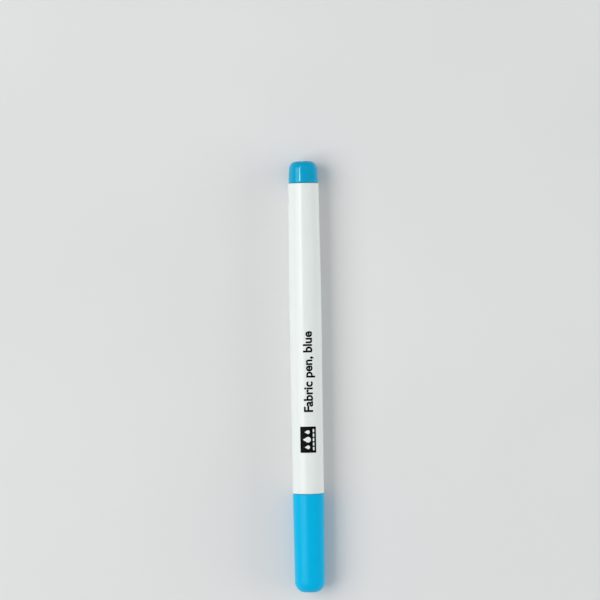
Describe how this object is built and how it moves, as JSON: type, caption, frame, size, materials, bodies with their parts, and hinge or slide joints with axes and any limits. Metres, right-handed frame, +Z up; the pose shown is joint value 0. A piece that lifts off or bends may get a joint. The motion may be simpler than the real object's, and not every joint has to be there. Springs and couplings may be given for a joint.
{
  "type": "fabric marking pen",
  "caption": "Slim round fabric marking pen with a white barrel, a cyan push-on cap and tail plug, and a fibre bullet nib under the cap.",
  "frame": {"origin": "on the surface that the pen lies on, below the middle of its length and its axis", "axes": "+Y along the pen from the cap to the tail plug, +Z up, +X to the right"},
  "size_m": [0.0102, 0.137, 0.0101],
  "materials": {
    "barrel_white": "satin",
    "plug_cyan": "gloss",
    "section_blue": "gloss",
    "holder_white": "satin",
    "nib_fibre": "matte",
    "reservoir_fibre": "matte",
    "sleeve_film": "gloss",
    "cap_cyan": "gloss",
    "liner_clear": "satin",
    "print_black": "satin"
  },
  "bodies": {
    "pen": {"barrel": "barrel_white", "tail_plug": "plug_cyan", "front_section": "section_blue", "nib_holder": "holder_white", "nib": "nib_fibre", "ink_reservoir": "reservoir_fibre", "reservoir_sleeve": "sleeve_film"},
    "cap": {"cap": "cap_cyan", "cap_liner": "liner_clear"}
  },
  "joints": [
    {"name": "cap_slide", "type": "slide", "parent": "pen", "child": "cap", "axis": [0, -1, 0], "range_m": [0, 0.045]}
  ]
}
